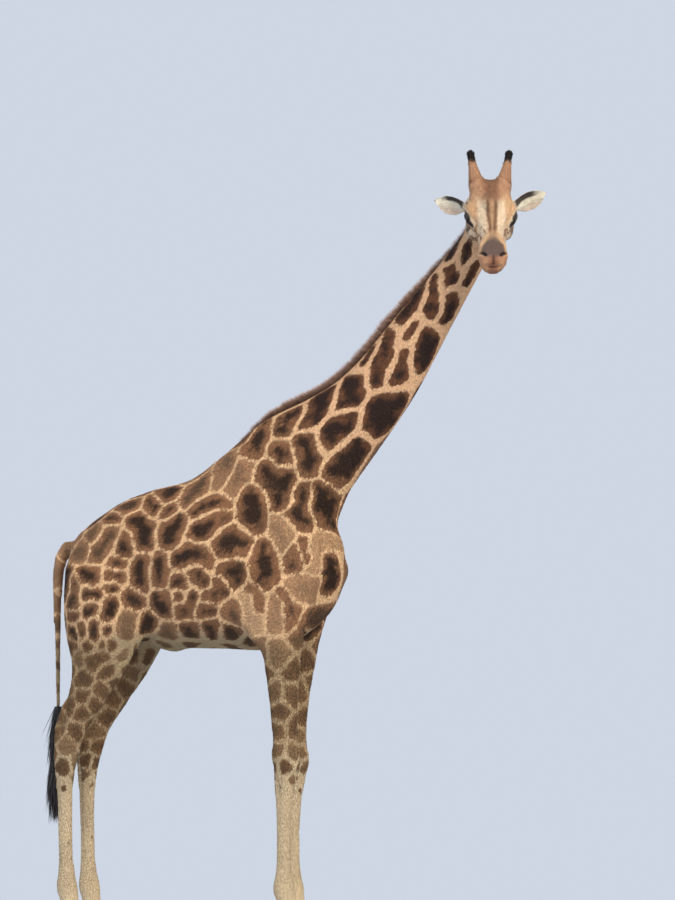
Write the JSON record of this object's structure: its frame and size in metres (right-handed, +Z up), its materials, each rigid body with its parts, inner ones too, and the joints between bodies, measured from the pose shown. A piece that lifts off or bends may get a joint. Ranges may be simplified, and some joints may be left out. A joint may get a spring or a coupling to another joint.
{
  "type": "giraffe",
  "caption": "Life-size still model of a standing giraffe with a blotched coat, its long neck raised and its head turned to the right.",
  "frame": {"origin": "on the floor, under the middle of the model's bounding box", "axes": "+X from the tail towards the chest, +Y towards the giraffe's left, +Z up"},
  "size_m": [3.0022, 0.8414, 4.5446],
  "materials": {
    "coat": "short flat hair, brown blotches on a tan ground",
    "mane": "stiff upright brown hair",
    "horn": "haired skin over bone, black at the tips",
    "eye": "wet and dark",
    "hoof": "dull horn",
    "tuft": "long black hair"
  },
  "bodies": {
    "root": {"ear_left": "coat", "ear_right": "coat", "eye_left": "eye", "eye_right": "eye", "foreleg_left_lower": "coat", "foreleg_left_upper": "coat", "foreleg_right_lower": "coat", "foreleg_right_upper": "coat", "head": "coat", "hindleg_left_lower": "coat", "hindleg_left_upper": "coat", "hindleg_right_lower": "coat", "hindleg_right_upper": "coat", "hoof_fore_left_left": "hoof", "hoof_fore_left_right": "hoof", "hoof_fore_right_left": "hoof", "hoof_fore_right_right": "hoof", "hoof_hind_left_left": "hoof", "hoof_hind_left_right": "hoof", "hoof_hind_right_left": "hoof", "hoof_hind_right_right": "hoof", "mane": "mane", "neck_lower": "coat", "neck_middle": "coat", "neck_upper": "coat", "ossicone_left": "horn", "ossicone_right": "horn", "tail": "coat", "tail_tuft": "tuft", "trunk": "coat"}
  },
  "joints": []
}
